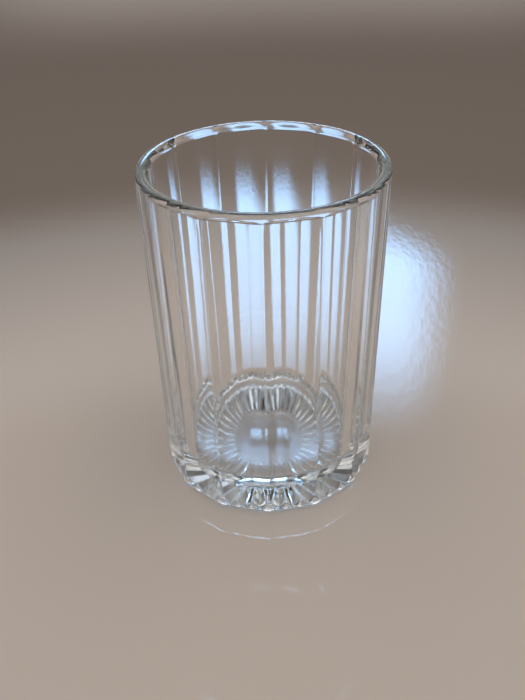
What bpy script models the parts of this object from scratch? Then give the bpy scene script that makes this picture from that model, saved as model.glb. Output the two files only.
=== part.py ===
"""A faceted shot glass: one piece of clear pressed glass that stands on its foot.

The glass starts as a turned blank with a rounded lip and a drawn cavity, whose floor is a shallow bowl. A
tapered prism trims the wall to flat panels, which curve out and end just under the lip, and a chamfer
finishes their feet. Underneath, the glass stands on a narrow ring. Inside the ring the base is hollowed, and
a sunburst of V-shaped rays with round ends is cut round a plain middle.

Metres, +Z up. The origin is the middle of the foot, on the surface that the glass stands on.
"""

from math import atan2, cos, hypot, pi, radians, sin, tan

import bmesh
import bpy

# Overall size
HEIGHT = 0.062
RIM_DIAMETER = 0.044
FOOT_DIAMETER = 0.0408  # across opposite ridges, before the foot is chamfered

# Flat panels round the wall
PANEL_COUNT = 14
RIDGE_END = 0.0037  # from the top of the lip down to where the ridges come to a point
RUN_OUT_END = 0.0009  # from the top of the lip down to where the panels have run out
RUN_OUT_LENGTH = 0.0007  # height over which each panel curves out to its end

# Lip and cavity
LIP_OUTER_RADIUS = 0.0009
LIP_INNER_RADIUS = 0.0014
WALL_AT_FLOOR = 0.0034  # from a ridge to the cavity, level with its floor
FLOOR_THICKNESS = 0.005
BOWL_WIDTH = 0.014  # how far the bowl of the floor reaches in from the wall
BOWL_HEIGHT = 0.003  # how far it rises to the wall

# Foot
FOOT_CHAMFER_HEIGHT = 0.0009
FOOT_CHAMFER_WIDTH = 0.0007
FOOT_RING_WIDTH = 0.0012

# Hollow under the base, and the sunburst cut into it
HOLLOW_RISE = 0.0008  # from the foot ring up to the edge of the plain middle
HOLLOW_DEPTH = 0.0014  # from the foot ring up to the highest point, on the axis
PLAIN_DIAMETER = 0.017
RAY_COUNT = 36
RAY_FACE_ANGLE = radians(30)  # from the hollowed cone to each face of a ray
RAY_LAND = 0.00015  # ridge left between two neighbouring rays

# Fineness of the turned surfaces
STEPS_PER_PANEL = 8
RUN_OUT_STEPS = 5
LIP_STEPS = 6
BOWL_STEPS = 10
DOME_STEPS = 4
RAY_END_STEPS = 12

SPARE = 0.001  # how far a cutter reaches past what it cuts
RAY_SPARE = 0.0002  # the same for the rays, which lie close together
WELD_DISTANCE = 1e-6

RIM_RADIUS = RIM_DIAMETER / 2
FOOT_RADIUS = FOOT_DIAMETER / 2
PLAIN_RADIUS = PLAIN_DIAMETER / 2
PANEL_ANGLE = 2 * pi / PANEL_COUNT
TURN_STEPS = PANEL_COUNT * STEPS_PER_PANEL


def remove_scene_objects():
    for scene_object in list(bpy.data.objects):
        bpy.data.objects.remove(scene_object, do_unlink=True)


def ridge_radius(height):
    """Distance from the axis to a ridge between two panels."""
    taper = (RIM_RADIUS - FOOT_RADIUS) / (HEIGHT - RIDGE_END)
    return FOOT_RADIUS + taper * height


def foot_ring_inner_radius():
    foot_edge = FOOT_RADIUS - FOOT_CHAMFER_WIDTH
    return foot_edge * cos(PANEL_ANGLE / 2) - FOOT_RING_WIDTH


def hollow_height(radius):
    """Height of the hollowed cone under the base, before the rays are cut."""
    outer = foot_ring_inner_radius()
    return HOLLOW_RISE * (outer - radius) / (outer - PLAIN_RADIUS)


def arc(centre, width, height, start, end, steps):
    """Points of (radius, height) along part of an ellipse of these half axes, both ends included."""
    points = []
    for step in range(steps + 1):
        angle = start + (end - start) * step / steps
        points.append((centre[0] + width * cos(angle), centre[1] + height * sin(angle)))
    return points


def object_from(name, mesh_builder):
    """Makes a linked object from a bmesh, with its faces pointing out."""
    bmesh.ops.recalc_face_normals(mesh_builder, faces=mesh_builder.faces)
    mesh = bpy.data.meshes.new(name)
    mesh_builder.to_mesh(mesh)
    mesh_builder.free()
    made = bpy.data.objects.new(name, mesh)
    bpy.context.collection.objects.link(made)
    return made


def turned_solid(name, outline):
    """Spins an outline of (radius, height) points, which starts and ends on the axis, about Z."""
    half_step = pi / TURN_STEPS
    builder = bmesh.new()
    points = [(r * cos(half_step), r * sin(half_step), height) for r, height in outline]
    vertices = [builder.verts.new(point) for point in points]
    edges = [builder.edges.new(pair) for pair in zip(vertices, vertices[1:])]
    bmesh.ops.spin(
        builder,
        geom=vertices + edges,
        axis=(0, 0, 1),
        cent=(0, 0, 0),
        angle=2 * pi,
        steps=TURN_STEPS,
        use_merge=True,
    )
    bmesh.ops.remove_doubles(builder, verts=builder.verts, dist=WELD_DISTANCE)
    return object_from(name, builder)


def blank_outline():
    """Underside, straight side, rounded lip, tapered cavity wall, and the bowl of the floor."""
    crest = RIM_RADIUS - LIP_OUTER_RADIUS
    outer_centre = (crest, HEIGHT - LIP_OUTER_RADIUS)
    inner_centre = (crest, HEIGHT - LIP_INNER_RADIUS)
    cavity_top = crest - LIP_INNER_RADIUS
    cavity_foot = ridge_radius(FLOOR_THICKNESS) - WALL_AT_FLOOR
    lean = atan2(cavity_top - cavity_foot, HEIGHT - LIP_INNER_RADIUS - FLOOR_THICKNESS)
    wall_reach = hypot(BOWL_WIDTH * cos(lean), BOWL_HEIGHT * sin(lean))
    flat_radius = cavity_foot + (BOWL_HEIGHT * sin(lean) - wall_reach) / cos(lean)
    bowl_centre = (flat_radius, FLOOR_THICKNESS + BOWL_HEIGHT)
    bowl_start = -atan2(BOWL_HEIGHT * sin(lean), BOWL_WIDTH * cos(lean))
    outline = [(0, -SPARE), (RIM_RADIUS, -SPARE)]
    outline += arc(outer_centre, LIP_OUTER_RADIUS, LIP_OUTER_RADIUS, 0, pi / 2, LIP_STEPS)
    outline += arc(inner_centre, LIP_INNER_RADIUS, LIP_INNER_RADIUS, pi / 2, pi - lean, LIP_STEPS)[1:]
    outline += arc(bowl_centre, BOWL_WIDTH, BOWL_HEIGHT, bowl_start, -pi / 2, BOWL_STEPS)
    outline.append((0, FLOOR_THICKNESS))
    return outline


def panel_levels():
    """Pairs of (radius, height) along a ridge of the prism: chamfer, straight flats and run-out."""
    levels = [
        (FOOT_RADIUS - FOOT_CHAMFER_WIDTH, 0),
        (ridge_radius(FOOT_CHAMFER_HEIGHT), FOOT_CHAMFER_HEIGHT),
    ]
    run_out_start = HEIGHT - RUN_OUT_END - RUN_OUT_LENGTH
    run_out_depth = RIM_RADIUS / cos(PANEL_ANGLE / 2) - RIM_RADIUS
    for step in range(RUN_OUT_STEPS + 1):
        share = step / RUN_OUT_STEPS
        height = run_out_start + RUN_OUT_LENGTH * share
        levels.append((ridge_radius(height) + run_out_depth * share ** 2, height))
    levels.append((levels[-1][0], HEIGHT + SPARE))
    return levels


def panel_prism():
    """The tapered prism of flats. Ridges face +Y and -Y."""
    builder = bmesh.new()
    rings = []
    for radius, height in panel_levels():
        angles = [pi / 2 + PANEL_ANGLE * index for index in range(PANEL_COUNT)]
        rings.append([builder.verts.new((radius * cos(a), radius * sin(a), height)) for a in angles])
    for lower, upper in zip(rings, rings[1:]):
        for index in range(PANEL_COUNT):
            after = (index + 1) % PANEL_COUNT
            builder.faces.new((lower[index], lower[after], upper[after], upper[index]))
    builder.faces.new(rings[0])
    builder.faces.new(rings[-1])
    return object_from("panel_prism", builder)


def hollow_cutter():
    """What is taken out under the base: a shallow cone with a low dome over its plain middle."""
    dome_rise = HOLLOW_DEPTH - HOLLOW_RISE
    dome_radius = (PLAIN_RADIUS ** 2 + dome_rise ** 2) / (2 * dome_rise)
    dome_centre = (0, HOLLOW_DEPTH - dome_radius)
    dome_edge = atan2(dome_radius - dome_rise, PLAIN_RADIUS)
    mouth = foot_ring_inner_radius()
    cone_slope = (mouth - PLAIN_RADIUS) / HOLLOW_RISE
    outline = arc(dome_centre, dome_radius, dome_radius, pi / 2, dome_edge, DOME_STEPS)
    outline.append((mouth + SPARE * cone_slope, -SPARE))
    outline.append((0, -SPARE))
    return turned_solid("hollow_cutter", outline)


def ray_end(builder, radius):
    """A cone whose tip is one end of a ray's root. It opens on the hollowed cone, and on below it."""
    half_width = pi * radius / RAY_COUNT - RAY_LAND / 2
    surface = hollow_height(radius)
    slope = tan(RAY_FACE_ANGLE)
    mouth = half_width + RAY_SPARE / slope
    points = [(radius, 0, surface + half_width * slope)]
    for step in range(RAY_END_STEPS):
        angle = 2 * pi * step / RAY_END_STEPS
        points.append((radius + mouth * cos(angle), mouth * sin(angle), surface - RAY_SPARE))
    return [builder.verts.new(point) for point in points]


def ray_cutters():
    """A ring of V-shaped wedges with round ends, from the plain middle out to the foot ring."""
    half_pitch = pi / RAY_COUNT
    inner = (PLAIN_RADIUS - RAY_LAND / 2) / (1 - half_pitch)
    outer = (foot_ring_inner_radius() + RAY_LAND / 2) / (1 + half_pitch)
    builder = bmesh.new()
    hull = bmesh.ops.convex_hull(builder, input=ray_end(builder, inner) + ray_end(builder, outer))
    bmesh.ops.delete(builder, geom=hull["geom_interior"], context="VERTS")
    wedge = builder.verts[:] + builder.edges[:] + builder.faces[:]
    bmesh.ops.spin(
        builder,
        geom=wedge,
        axis=(0, 0, 1),
        cent=(0, 0, 0),
        angle=2 * pi * (RAY_COUNT - 1) / RAY_COUNT,
        steps=RAY_COUNT - 1,
        use_duplicate=True,
    )
    return object_from("ray_cutters", builder)


def trim(body, tool, operation):
    """Cuts a body with a tool, which stays in the scene as a hidden wire guide."""
    tool.hide_render = True
    tool.display_type = "WIRE"
    cut = body.modifiers.new(tool.name, "BOOLEAN")
    cut.operation = operation
    cut.solver = "EXACT"
    cut.object = tool


def clear_glass():
    """Almost colourless glass, with the faint grey-green that shows in its thick base."""
    material = bpy.data.materials.new("clear_glass")
    material.use_nodes = True
    shader = material.node_tree.nodes["Principled BSDF"]
    shader.inputs["Base Color"].default_value = (0.93, 0.96, 0.95, 1.0)
    shader.inputs["Roughness"].default_value = 0.02
    shader.inputs["Metallic"].default_value = 0.0
    shader.inputs["IOR"].default_value = 1.52
    shader.inputs["Transmission Weight"].default_value = 1.0
    return material


def shot_glass():
    glass = turned_solid("shot_glass", blank_outline())
    glass.data.materials.append(clear_glass())
    glass.data.shade_smooth()
    glass.data.set_sharp_from_angle(angle=PANEL_ANGLE)
    trim(glass, panel_prism(), "INTERSECT")
    trim(glass, hollow_cutter(), "DIFFERENCE")
    trim(glass, ray_cutters(), "DIFFERENCE")
    return glass


remove_scene_objects()
shot_glass()
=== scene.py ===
"""Looks of the faceted shot glass: its finely pressed surface, the glass itself, floor, lights and camera."""

from math import atan2, cos, hypot, pi, radians, sin

import bpy
import numpy as np
from mathutils import Matrix, Vector


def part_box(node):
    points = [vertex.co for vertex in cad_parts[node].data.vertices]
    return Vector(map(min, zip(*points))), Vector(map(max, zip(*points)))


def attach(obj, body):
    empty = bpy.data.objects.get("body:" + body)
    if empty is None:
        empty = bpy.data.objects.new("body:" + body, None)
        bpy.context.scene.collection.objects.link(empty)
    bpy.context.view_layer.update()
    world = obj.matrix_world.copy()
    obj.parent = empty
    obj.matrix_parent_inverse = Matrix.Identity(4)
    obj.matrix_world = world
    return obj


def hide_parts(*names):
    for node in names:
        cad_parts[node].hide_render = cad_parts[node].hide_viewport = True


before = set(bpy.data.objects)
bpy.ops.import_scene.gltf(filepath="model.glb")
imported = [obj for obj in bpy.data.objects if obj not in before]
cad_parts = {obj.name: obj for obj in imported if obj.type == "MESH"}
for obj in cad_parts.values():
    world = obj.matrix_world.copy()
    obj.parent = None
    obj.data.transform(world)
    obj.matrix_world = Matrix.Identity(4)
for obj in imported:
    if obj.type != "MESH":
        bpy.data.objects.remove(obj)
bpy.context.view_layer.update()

NODE = "shot_glass"

# Sizes in metres. The height comes from the frame, and the rest repeat those of the solid, with the slope of
# its rays rounded.
LOWEST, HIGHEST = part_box(NODE)
HEIGHT = HIGHEST[2] - LOWEST[2]
RIM_RADIUS = 0.022
FOOT_RADIUS = 0.0204
PANEL_COUNT = 14
RIDGE_END = 0.0037
RUN_OUT_END = 0.0009
RUN_OUT_LENGTH = 0.0007
LIP_OUTER_RADIUS = 0.0009
LIP_INNER_RADIUS = 0.0014
WALL_AT_FLOOR = 0.0034
FLOOR_THICKNESS = 0.005
BOWL_WIDTH = 0.014
BOWL_HEIGHT = 0.003
FOOT_CHAMFER_HEIGHT = 0.0009
FOOT_CHAMFER_WIDTH = 0.0007
FOOT_RING_WIDTH = 0.0012
HOLLOW_RISE = 0.0008
HOLLOW_DEPTH = 0.0014
PLAIN_RADIUS = 0.0085
RAY_COUNT = 36
RAY_LAND = 0.00015
RAY_SLOPE = 0.58

# How far the pressed edges are rounded off
RIDGE_SOFTNESS = 0.00018
ARCH_SOFTNESS = 0.0001
RAY_ROOT_RADIUS = 0.00008

# Columns of the mesh, some of them at these angles in degrees to both sides of each ridge, and the least
# angle between two of them
COLUMNS_PER_PANEL = 16
COLUMNS_BESIDE_RIDGE = np.array([0.1, 0.25, 0.45, 0.65, 0.9, 1.2])
COLUMNS_PER_RAY = 16
LEAST_COLUMN = radians(0.05)

# Stations along each stretch of the mesh's outline, with both of its ends
DOME_STATIONS = 16
RAY_STATIONS = 44
FOOT_RING_STATIONS = 5
CHAMFER_STATIONS = 7
FLAT_STATIONS = 24
ARCH_STATIONS = 40
LIP_OUTER_STATIONS = 25
LIP_INNER_STATIONS = 20
CAVITY_WALL_STATIONS = 24
BOWL_STATIONS = 30
MIDDLE_STATIONS = 14
# Radius of the outline's first and last rows, next to the points on the axis
INNERMOST = 0.0006

# The glass and its faint tint
GLASS_IOR = 1.52
TINT = (0.70, 0.84, 0.79, 1)
TINT_DENSITY = 6.0

# Slow waves, drawn out along the wall, and a fine grain
WAVE_STRETCH = (1, 1, 0.3)
WAVE_SCALE = 170.0
WAVE_DETAIL = 1.0
WAVE_HEIGHT = 0.00003
GRAIN_SCALE = 900.0
GRAIN_DETAIL = 2.0
GRAIN_HEIGHT = 0.000002

# Roughness of the faint smears, which start and are full at two values of their noise, and of the rubbed
# foot, which starts and is full at two heights
SMEAR_SCALE = 70.0
SMEAR_DETAIL = 4.0
SMEAR_START = 0.55
SMEAR_FULL = 0.8
SMEAR_ROUGHNESS = 0.05
RUBBED_START = 0.0004
RUBBED_FULL = 0.0001
RUBBED_ROUGHNESS = 0.2

# Roughness that the plunger leaves inside the cavity: on its wall, in the middle of its floor, and on the
# bowl between them, where it starts and is full at two radii. The cavity's edge is a radius between its wall
# and the outside of the glass.
WALL_CHILL = 0.03
MIDDLE_CHILL = 0.1
BOWL_CHILL = 0.26
BOWL_CHILL_START = 0.005
BOWL_CHILL_FULL = 0.0085
CAVITY_EDGE = 0.0198

# The floor, just under the foot. Its colour is palest at one place and darker from one distance to another.
# This is painted shade, standing in for light that falls off away from the glass.
FLOOR_HALF_SIZE = 1.5
FLOOR_LEVEL = -0.00005
FLOOR_NEAR = (0.83, 0.67, 0.545, 1)
FLOOR_FAR_PAINTED_SHADE = (0.325, 0.245, 0.19, 1)
PAINTED_LIGHT_CENTRE = (0, -0.07, 0)
PAINTED_SHADE_FADE = (0.09, 0.225)
FLOOR_ROUGHNESS = 0.05
FLOOR_IOR = 1.5
RIPPLE_STRETCH = (1, 0.4, 1)
RIPPLE_SCALE = 600.0
RIPPLE_DETAIL = 4.0
RIPPLE_HEIGHT = 0.00002

# Radiances of the studio
ROOM = (0.05, 0.048, 0.046)
KEY_COLOUR = (3.3, 6.1, 10.0)
LOW_BELT_COLOUR = (0.85, 0.97, 1.12)
HIGH_BELT_COLOUR = (1.08, 1.02, 0.94)
GLOW_COLOUR = (0.5, 0.45, 0.42)

# Edges of the studio's lights, each from where the light starts to where it is full.
# Those of the key panel are tangents of angles, across and above the horizon. Its foot rises to the right by
# a slope, and the least distance ahead keeps the tangents finite.
KEY_LEFT = (-0.12, -0.085)
KEY_RIGHT = (0.22, 0.14)
KEY_FOOT = (0.40, 0.46)
KEY_TOP = (0.80, 0.60)
KEY_FOOT_SLOPE = 0.45
LEAST_AHEAD = 0.01
# Those of the belts are sines of elevations, and the high belt's sides are X, to the left and to the right.
# Each change of the low belt has a direction, the edges of the dot product with it, and an amount.
LOW_BELT_FOOT = (0.38, 0.43)
LOW_BELT_TOP = (0.60, 0.54)
LOW_BELT_LEVEL = 1.0
LOW_BELT_CHANGES = (
    ((-0.97, 0.26, 0), (0.62, 0.78), -0.9),
    ((0.71, -0.71, 0), (0.62, 0.78), 1.2),
    ((0, 1, 0), (0.5, 0.7), -0.5))
HIGH_BELT_FOOT = (0.78, 0.84)
HIGH_BELT_TOP = (0.985, 0.95)
HIGH_BELT_SIDES = (0.15, 0.25)
# Those of the dim glow, low behind the glass, are Y and Z.
GLOW_SIDES = (0.9, 0.97)
GLOW_TOP = (0.26, 0.18)

# The overhead light, which faces the middle of the foot
OVERHEAD_PLACE = (-0.1, 0.15, 1.1)
OVERHEAD_SIZE = 0.5
OVERHEAD_RADIANCE = 2.2
COOL_WHITE = (0.97, 0.98, 1.0)

# The camera, which orbits the middle of the foot and is then moved in its own picture plane
FOCAL_PIXELS = 916.5
FRAME_PIXELS = 700
SENSOR = 36.0
CAMERA_DISTANCE = 0.18990
CAMERA_ELEVATION = radians(32.75)
CAMERA_TURN = radians(1.71)
CAMERA_ROLL = radians(-1.53)
CAMERA_RIGHT = -0.00153
CAMERA_UP = 0.0200
NEAREST_SEEN = 0.01

# How often a path of light may bounce, in all and through glass, and off mirroring surfaces
LIGHT_BOUNCES = 32
MIRROR_BOUNCES = 16

PANEL_ANGLE = 2 * pi / PANEL_COUNT
HALF_PANEL = PANEL_ANGLE / 2
FIRST_RIDGE = pi / 2
RING_RADIUS = (FOOT_RADIUS - FOOT_CHAMFER_WIDTH) * cos(HALF_PANEL) - FOOT_RING_WIDTH


def ridge_radius(height):
    """Distance from the axis to a ridge. Just under the lip, the flats curve out past the rim."""
    taper = (RIM_RADIUS - FOOT_RADIUS) / (HEIGHT - RIDGE_END)
    run_out = max(height - HEIGHT + RUN_OUT_END + RUN_OUT_LENGTH, 0) / RUN_OUT_LENGTH
    return FOOT_RADIUS + taper * height + RIM_RADIUS * (1 / cos(HALF_PANEL) - 1) * run_out ** 2


def soft_minimum(first, second, softness):
    """The smaller of two surfaces, with the corner between them rounded off."""
    overlap = np.maximum(softness - np.abs(first - second), 0)
    return np.minimum(first, second) - overlap ** 2 / (4 * softness)


def eased(stations, start, end):
    """Stations from one value to another, closer together towards both."""
    return start + (end - start) * (1 - np.cos(np.linspace(0, pi, stations))) / 2


def column_angles():
    """Angles of the mesh's columns: even ones, more beside each ridge, and some across each ray."""
    panels = np.arange(PANEL_COUNT * COLUMNS_PER_PANEL) / COLUMNS_PER_PANEL
    beside = radians(1) * np.concatenate([-COLUMNS_BESIDE_RIDGE, [0], COLUMNS_BESIDE_RIDGE])
    ridges = np.arange(PANEL_COUNT)[:, None] * PANEL_ANGLE + beside
    across_half = eased(COLUMNS_PER_RAY // 2 + 1, 0, 0.5)[:-1]
    across = np.concatenate([across_half, across_half + 0.5])
    rays = (np.arange(RAY_COUNT)[:, None] + across) * 2 * pi / RAY_COUNT
    every = np.concatenate([FIRST_RIDGE + panels * PANEL_ANGLE, FIRST_RIDGE + ridges.ravel(), rays.ravel()])
    every = np.sort(every % (2 * pi))
    return every[np.append(True, np.diff(every) > LEAST_COLUMN)]


ANGLES = column_angles()


def panel_radius(ridge):
    """Distance from the axis to the flats, where their softened ridges are this far from it."""
    flat = ridge * cos(HALF_PANEL)
    turn = (ANGLES - FIRST_RIDGE) % PANEL_ANGLE
    here = flat / np.cos(turn - HALF_PANEL)
    before = flat / np.cos(turn + HALF_PANEL)
    after = flat / np.cos(turn - 3 * HALF_PANEL)
    return soft_minimum(soft_minimum(here, before, RIDGE_SOFTNESS), after, RIDGE_SOFTNESS)


def level(radius, height):
    """One row of the mesh, as arrays of radius and height."""
    return np.broadcast_to(radius, ANGLES.shape), np.broadcast_to(height, ANGLES.shape)


def trimmed_level(blank_radius, height):
    """One row of the round blank, after the flats have trimmed it."""
    flats = panel_radius(ridge_radius(height))
    return level(soft_minimum(flats, blank_radius, ARCH_SOFTNESS), height)


def ray_half_width(radius):
    return pi * radius / RAY_COUNT - RAY_LAND / 2


def ray_depth(radius):
    """Depth of the V-shaped rays at each column, this far from the axis. Both of their ends are round."""
    half_pitch = pi / RAY_COUNT
    inner_end = (PLAIN_RADIUS - RAY_LAND / 2) / (1 - half_pitch)
    outer_end = (RING_RADIUS + RAY_LAND / 2) / (1 + half_pitch)
    aside = radius * np.abs((ANGLES + half_pitch) % (2 * half_pitch) - half_pitch)
    beyond = max(inner_end - radius, radius - outer_end, 0)
    distance = np.sqrt(aside ** 2 + beyond ** 2 + RAY_ROOT_RADIUS ** 2) - RAY_ROOT_RADIUS
    return RAY_SLOPE * np.maximum(ray_half_width(radius) - distance, 0)


def underside_rows():
    """From the axis out: the plain hollow, the rays, and the flat ring that the glass stands on."""
    rows = []
    for radius in np.linspace(INNERMOST, PLAIN_RADIUS, DOME_STATIONS):
        dome = HOLLOW_DEPTH - (HOLLOW_DEPTH - HOLLOW_RISE) * (radius / PLAIN_RADIUS) ** 2
        rows.append(level(radius, dome))
    for radius in eased(RAY_STATIONS, PLAIN_RADIUS, RING_RADIUS)[1:]:
        cone = HOLLOW_RISE * (RING_RADIUS - radius) / (RING_RADIUS - PLAIN_RADIUS)
        rows.append(level(radius, cone + ray_depth(radius)))
    foot_edge = panel_radius(FOOT_RADIUS - FOOT_CHAMFER_WIDTH)
    for share in np.linspace(0, 1, FOOT_RING_STATIONS)[1:]:
        rows.append(level(RING_RADIUS + (foot_edge - RING_RADIUS) * share, 0.0))
    return rows


def outer_wall_rows():
    """The chamfered foot, the flats, and the outer half of the lip, which the flats run out under."""
    rows = []
    foot_edge = panel_radius(FOOT_RADIUS - FOOT_CHAMFER_WIDTH)
    chamfer_top = panel_radius(ridge_radius(FOOT_CHAMFER_HEIGHT))
    for share in np.linspace(0, 1, CHAMFER_STATIONS)[1:]:
        rows.append(level(foot_edge + (chamfer_top - foot_edge) * share, FOOT_CHAMFER_HEIGHT * share))
    lip_foot = HEIGHT - LIP_OUTER_RADIUS
    ridge_top = HEIGHT - RIDGE_END
    flats = eased(FLAT_STATIONS, FOOT_CHAMFER_HEIGHT, ridge_top)
    arches = np.linspace(ridge_top, lip_foot, ARCH_STATIONS)
    for height in np.concatenate([flats[1:], arches[1:]]):
        rows.append(trimmed_level(RIM_RADIUS, height))
    for angle in np.linspace(0, pi / 2, LIP_OUTER_STATIONS)[1:]:
        lip_radius = RIM_RADIUS - LIP_OUTER_RADIUS + LIP_OUTER_RADIUS * cos(angle)
        rows.append(trimmed_level(lip_radius, lip_foot + LIP_OUTER_RADIUS * sin(angle)))
    return rows


def cavity_rows():
    """The inner half of the lip, the tapered round wall, the bowl and the middle of the floor."""
    rows = []
    cavity_top = RIM_RADIUS - LIP_OUTER_RADIUS - LIP_INNER_RADIUS
    cavity_foot = ridge_radius(FLOOR_THICKNESS) - WALL_AT_FLOOR
    lean = atan2(cavity_top - cavity_foot, HEIGHT - LIP_INNER_RADIUS - FLOOR_THICKNESS)
    for angle in np.linspace(pi / 2, pi - lean, LIP_INNER_STATIONS)[1:]:
        radius = RIM_RADIUS - LIP_OUTER_RADIUS + LIP_INNER_RADIUS * cos(angle)
        rows.append(level(radius, HEIGHT - LIP_INNER_RADIUS + LIP_INNER_RADIUS * sin(angle)))
    reach = hypot(BOWL_WIDTH * cos(lean), BOWL_HEIGHT * sin(lean))
    bowl_radius = cavity_foot + (BOWL_HEIGHT * sin(lean) - reach) / cos(lean)
    bowl_height = FLOOR_THICKNESS + BOWL_HEIGHT
    start = atan2(BOWL_HEIGHT * sin(lean), BOWL_WIDTH * cos(lean))
    top_radius, top_height = rows[-1][0][0], rows[-1][1][0]
    low_radius = bowl_radius + BOWL_WIDTH * cos(start)
    low_height = bowl_height - BOWL_HEIGHT * sin(start)
    for share in eased(CAVITY_WALL_STATIONS, 0, 1)[1:]:
        radius = top_radius + (low_radius - top_radius) * share
        rows.append(level(radius, top_height + (low_height - top_height) * share))
    for angle in np.linspace(start, pi / 2, BOWL_STATIONS)[1:]:
        rows.append(level(bowl_radius + BOWL_WIDTH * cos(angle), bowl_height - BOWL_HEIGHT * sin(angle)))
    for radius in np.linspace(bowl_radius, INNERMOST, MIDDLE_STATIONS)[1:]:
        rows.append(level(radius, FLOOR_THICKNESS))
    return rows


def glass_mesh():
    """Joins the rows into one closed skin, with a point on the axis at each end."""
    rows = underside_rows() + outer_wall_rows() + cavity_rows()
    columns = len(ANGLES)
    points = [(0, 0, HOLLOW_DEPTH)]
    for radius, height in rows:
        points += zip(radius * np.cos(ANGLES), radius * np.sin(ANGLES), height)
    points.append((0, 0, FLOOR_THICKNESS))
    last = len(points) - 1
    last_row = 1 + (len(rows) - 1) * columns
    faces = []
    for column in range(columns):
        after = (column + 1) % columns
        faces.append((0, 1 + after, 1 + column))
        faces.append((last, last_row + column, last_row + after))
        for low in range(1, last_row, columns):
            high = low + columns
            faces.append((low + column, low + after, high + after, high + column))
    mesh = bpy.data.meshes.new("pressed_glass")
    mesh.from_pydata([tuple(map(float, point)) for point in points], [], faces)
    mesh.validate()
    mesh.shade_smooth()
    return mesh


def add_node(tree, kind, **settings):
    """A shader node, with its named inputs or properties set."""
    node = tree.nodes.new(kind)
    for name, value in settings.items():
        entry = name.replace("_", " ").title()
        if entry in node.inputs:
            node.inputs[entry].default_value = value
        else:
            setattr(node, name, value)
    return node


def calculated(tree, operation, *values):
    """The output of a maths node, whose inputs are other outputs or plain numbers."""
    node = add_node(tree, "ShaderNodeMath", operation=operation)
    for entry, value in zip(node.inputs, values):
        if isinstance(value, (int, float)):
            entry.default_value = value
        else:
            tree.links.new(value, entry)
    return node.outputs["Value"]


def ranged(tree, value, **limits):
    """A node output that follows a value from one range to another."""
    node = add_node(tree, "ShaderNodeMapRange", **limits)
    tree.links.new(value, node.inputs["Value"])
    return node.outputs["Result"]


def soft_edge(tree, value, start, end):
    """A node output that rises smoothly from 0 to 1, as the value goes from start to end."""
    return ranged(tree, value, interpolation_type="SMOOTHSTEP", from_min=start, from_max=end)


def noise(tree, place, scale, detail):
    """The height of a cloudy noise at a place."""
    node = add_node(tree, "ShaderNodeTexNoise", scale=scale, detail=detail)
    tree.links.new(place, node.inputs["Vector"])
    return node.outputs["Fac"]


def stretched(tree, place, scale):
    """A place whose axes are scaled, so that a noise there is drawn out along some of them."""
    node = add_node(tree, "ShaderNodeMapping", scale=scale)
    tree.links.new(place, node.inputs["Vector"])
    return node.outputs["Vector"]


def bumped(tree, height, distance):
    """A bump node for a height between 0 and 1, which is this many metres tall."""
    node = add_node(tree, "ShaderNodeBump", strength=1.0, distance=distance)
    tree.links.new(height, node.inputs["Height"])
    return node


def cavity_roughness(tree, split):
    """Roughness that the plunger leaves inside the cavity, and 0 everywhere else."""
    height = split.outputs["Z"]
    aside = calculated(tree, "POWER", split.outputs["X"], 2.0)
    along = calculated(tree, "POWER", split.outputs["Y"], 2.0)
    from_axis = calculated(tree, "SQRT", calculated(tree, "ADD", aside, along))
    within_edge = calculated(tree, "LESS_THAN", from_axis, CAVITY_EDGE)
    above_underside = calculated(tree, "GREATER_THAN", height, FLOOR_THICKNESS / 2)
    inside = calculated(tree, "MULTIPLY", within_edge, above_underside)
    by_height = ranged(
        tree, height, from_min=FLOOR_THICKNESS + BOWL_HEIGHT, from_max=FLOOR_THICKNESS,
        to_min=WALL_CHILL, to_max=BOWL_CHILL)
    by_radius = ranged(
        tree, from_axis, from_min=BOWL_CHILL_START, from_max=BOWL_CHILL_FULL,
        to_min=MIDDLE_CHILL, to_max=BOWL_CHILL)
    return calculated(tree, "MULTIPLY", inside, calculated(tree, "MINIMUM", by_height, by_radius))


def glass_material():
    """Clear pressed glass: slow waves, a fine grain, faint smears, a rubbed foot and the plunger's marks."""
    material = bpy.data.materials.new("clear_glass")
    material.use_nodes = True
    tree = material.node_tree
    link = tree.links.new
    shader = tree.nodes["Principled BSDF"]
    shader.inputs["Base Color"].default_value = (1, 1, 1, 1)
    shader.inputs["IOR"].default_value = GLASS_IOR
    shader.inputs["Transmission Weight"].default_value = 1.0
    depth = add_node(tree, "ShaderNodeVolumeAbsorption", color=TINT, density=TINT_DENSITY)
    link(depth.outputs["Volume"], tree.nodes["Material Output"].inputs["Volume"])

    place = add_node(tree, "ShaderNodeTexCoord").outputs["Object"]
    waves = noise(tree, stretched(tree, place, WAVE_STRETCH), WAVE_SCALE, WAVE_DETAIL)
    wave_bump = bumped(tree, waves, WAVE_HEIGHT)
    grain_bump = bumped(tree, noise(tree, place, GRAIN_SCALE, GRAIN_DETAIL), GRAIN_HEIGHT)
    link(wave_bump.outputs["Normal"], grain_bump.inputs["Normal"])
    link(grain_bump.outputs["Normal"], shader.inputs["Normal"])

    split = add_node(tree, "ShaderNodeSeparateXYZ")
    link(place, split.inputs["Vector"])
    smeared = ranged(
        tree, noise(tree, place, SMEAR_SCALE, SMEAR_DETAIL), from_min=SMEAR_START, from_max=SMEAR_FULL,
        to_max=SMEAR_ROUGHNESS)
    rubbed = ranged(
        tree, split.outputs["Z"], from_min=RUBBED_START, from_max=RUBBED_FULL, to_max=RUBBED_ROUGHNESS)
    outside = calculated(tree, "MAXIMUM", smeared, rubbed)
    roughest = calculated(tree, "MAXIMUM", outside, cavity_roughness(tree, split))
    link(roughest, shader.inputs["Roughness"])
    return material


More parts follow.
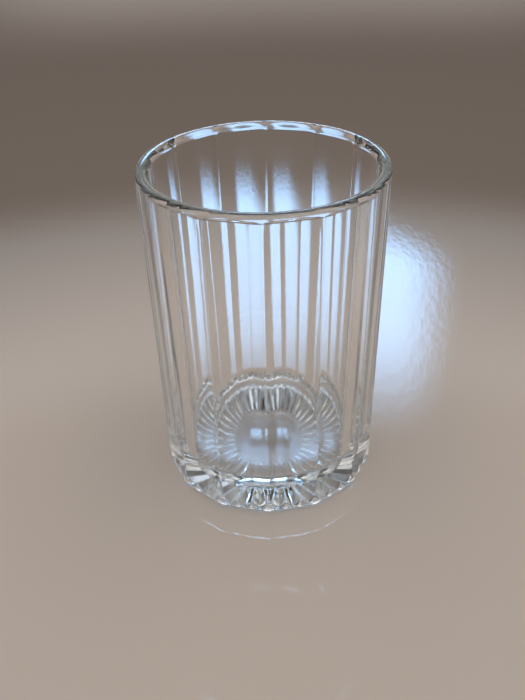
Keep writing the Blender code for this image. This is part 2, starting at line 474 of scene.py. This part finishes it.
def floor_material():
    """Glossy pale paint, with painted shade that darkens it further off, and faint brush ripples."""
    material = bpy.data.materials.new("pale_floor")
    material.use_nodes = True
    tree = material.node_tree
    link = tree.links.new
    shader = tree.nodes["Principled BSDF"]
    shader.inputs["Roughness"].default_value = FLOOR_ROUGHNESS
    shader.inputs["IOR"].default_value = FLOOR_IOR

    place = add_node(tree, "ShaderNodeTexCoord").outputs["Object"]
    ripples = noise(tree, stretched(tree, place, RIPPLE_STRETCH), RIPPLE_SCALE, RIPPLE_DETAIL)
    link(bumped(tree, ripples, RIPPLE_HEIGHT).outputs["Normal"], shader.inputs["Normal"])

    # Painted shade: the paint darkens with distance from one place, as falling-off light would darken it
    away = add_node(tree, "ShaderNodeVectorMath", operation="DISTANCE")
    away.inputs[1].default_value = PAINTED_LIGHT_CENTRE
    link(place, away.inputs[0])
    paint_and_painted_shade = add_node(tree, "ShaderNodeMix", data_type="RGBA")
    paint_and_painted_shade.inputs["A"].default_value = FLOOR_NEAR
    paint_and_painted_shade.inputs["B"].default_value = FLOOR_FAR_PAINTED_SHADE
    link(soft_edge(tree, away.outputs["Value"], *PAINTED_SHADE_FADE), paint_and_painted_shade.inputs["Factor"])
    link(paint_and_painted_shade.outputs["Result"], shader.inputs["Base Color"])
    return material


def add_glass():
    glass = bpy.data.objects.new("pressed_glass", glass_mesh())
    glass.data.materials.append(glass_material())
    bpy.context.collection.objects.link(glass)
    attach(glass, "root")
    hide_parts(NODE)
    # Light that passes the glass isn't gathered on the floor, so a shadow would be too dark
    glass.visible_shadow = False


def add_floor():
    half = FLOOR_HALF_SIZE
    mesh = bpy.data.meshes.new("floor")
    corners = [(x, y, FLOOR_LEVEL) for x, y in ((-half, -half), (half, -half), (half, half), (-half, half))]
    mesh.from_pydata(corners, [], [(0, 1, 2, 3)])
    mesh.materials.append(floor_material())
    floor = bpy.data.objects.new("floor", mesh)
    bpy.context.collection.objects.link(floor)


def add_overhead_light():
    """A square soft light above the glass, whose own image neither the camera nor a reflection shows."""
    data = bpy.data.lights.new("overhead", "AREA")
    data.shape = "RECTANGLE"
    data.size = OVERHEAD_SIZE
    data.size_y = OVERHEAD_SIZE
    data.color = COOL_WHITE
    data.energy = OVERHEAD_RADIANCE * pi * OVERHEAD_SIZE ** 2
    light = bpy.data.objects.new("overhead", data)
    light.location = OVERHEAD_PLACE
    light.rotation_euler = (-Vector(OVERHEAD_PLACE)).to_track_quat("-Z", "Y").to_euler()
    light.visible_camera = False
    light.visible_glossy = False
    bpy.context.collection.objects.link(light)


def key_panel(tree, split):
    """How much of the bright soft-edged panel, behind the glass and above the floor, lies in a direction."""
    ahead = calculated(tree, "MAXIMUM", split.outputs["Y"], LEAST_AHEAD)
    across = calculated(tree, "DIVIDE", split.outputs["X"], ahead)
    above = calculated(tree, "DIVIDE", split.outputs["Z"], ahead)
    rise = calculated(tree, "MULTIPLY", calculated(tree, "MAXIMUM", across, 0.0), KEY_FOOT_SLOPE)
    over_foot = calculated(tree, "SUBTRACT", above, rise)
    upright = calculated(
        tree, "MULTIPLY", soft_edge(tree, above, *KEY_TOP), soft_edge(tree, over_foot, *KEY_FOOT))
    sides = calculated(
        tree, "MULTIPLY", soft_edge(tree, across, *KEY_LEFT), soft_edge(tree, across, *KEY_RIGHT))
    behind = soft_edge(tree, split.outputs["Y"], 0, LEAST_AHEAD * 2)
    return calculated(tree, "MULTIPLY", calculated(tree, "MULTIPLY", upright, sides), behind)


def belt(tree, split, foot, top):
    """How much of a soft-edged belt around the sky lies in a direction."""
    height = split.outputs["Z"]
    return calculated(tree, "MULTIPLY", soft_edge(tree, height, *foot), soft_edge(tree, height, *top))


def low_belt(tree, direction, split):
    """The belt that makes the thin bright lines. It is brighter or dimmer in some directions."""
    strength = LOW_BELT_LEVEL
    for towards, edge, change in LOW_BELT_CHANGES:
        facing = add_node(tree, "ShaderNodeVectorMath", operation="DOT_PRODUCT")
        facing.inputs[1].default_value = towards
        tree.links.new(direction, facing.inputs[0])
        part = soft_edge(tree, facing.outputs["Value"], *edge)
        strength = calculated(tree, "MULTIPLY_ADD", part, change, strength)
    return calculated(tree, "MULTIPLY", strength, belt(tree, split, LOW_BELT_FOOT, LOW_BELT_TOP))


def high_belt(tree, split):
    """The belt that lights the floor from both sides, with a gap in front and behind."""
    sideways = calculated(tree, "ABSOLUTE", split.outputs["X"])
    sides = soft_edge(tree, sideways, *HIGH_BELT_SIDES)
    return calculated(tree, "MULTIPLY", sides, belt(tree, split, HIGH_BELT_FOOT, HIGH_BELT_TOP))


def low_glow(tree, split):
    """The dim glow low behind the glass."""
    behind = soft_edge(tree, split.outputs["Y"], *GLOW_SIDES)
    return calculated(tree, "MULTIPLY", behind, soft_edge(tree, split.outputs["Z"], *GLOW_TOP))


def add_world():
    """A dark studio with two belts of soft light, one bright panel and a dim glow."""
    world = bpy.data.worlds.new("studio")
    world.use_nodes = True
    tree = world.node_tree
    direction = add_node(tree, "ShaderNodeTexCoord").outputs["Generated"]
    split = add_node(tree, "ShaderNodeSeparateXYZ")
    tree.links.new(direction, split.inputs["Vector"])
    sources = (
        (low_glow(tree, split), GLOW_COLOUR),
        (low_belt(tree, direction, split), LOW_BELT_COLOUR),
        (high_belt(tree, split), HIGH_BELT_COLOUR),
        (key_panel(tree, split), KEY_COLOUR))
    total = None
    for strength, colour in sources:
        scaled = add_node(tree, "ShaderNodeVectorMath", operation="SCALE")
        scaled.inputs[0].default_value = colour
        tree.links.new(strength, scaled.inputs["Scale"])
        added = add_node(tree, "ShaderNodeVectorMath", operation="ADD")
        tree.links.new(scaled.outputs["Vector"], added.inputs[0])
        added.inputs[1].default_value = ROOM
        if total:
            tree.links.new(total, added.inputs[1])
        total = added.outputs["Vector"]
    tree.links.new(total, tree.nodes["Background"].inputs["Color"])
    bpy.context.scene.world = world


def add_camera():
    """A pinhole at the photograph's viewing angle."""
    back = Vector((0, -cos(CAMERA_ELEVATION), sin(CAMERA_ELEVATION)))
    level_right = Vector((1, 0, 0))
    level_up = Vector((0, sin(CAMERA_ELEVATION), cos(CAMERA_ELEVATION)))
    right = level_right * cos(CAMERA_ROLL) + level_up * sin(CAMERA_ROLL)
    up = level_up * cos(CAMERA_ROLL) - level_right * sin(CAMERA_ROLL)
    pose = Matrix((right, up, back)).transposed().to_4x4()
    pose.translation = back * CAMERA_DISTANCE + right * CAMERA_RIGHT + up * CAMERA_UP
    data = bpy.data.cameras.new("camera")
    data.sensor_width = SENSOR
    data.lens = FOCAL_PIXELS * SENSOR / FRAME_PIXELS
    data.clip_start = NEAREST_SEEN
    camera = bpy.data.objects.new("camera", data)
    camera.matrix_world = Matrix.Rotation(CAMERA_TURN, 4, "Z") @ pose
    bpy.context.collection.objects.link(camera)
    bpy.context.scene.camera = camera


def set_rendering():
    """Lets light pass many walls of glass, gathers none into bright spots, and shows plain colours."""
    scene = bpy.context.scene
    scene.cycles.max_bounces = LIGHT_BOUNCES
    scene.cycles.transmission_bounces = LIGHT_BOUNCES
    scene.cycles.glossy_bounces = MIRROR_BOUNCES
    scene.cycles.caustics_refractive = False
    scene.cycles.caustics_reflective = False
    scene.view_settings.view_transform = "Standard"


add_glass()
add_floor()
add_world()
add_overhead_light()
add_camera()
set_rendering()
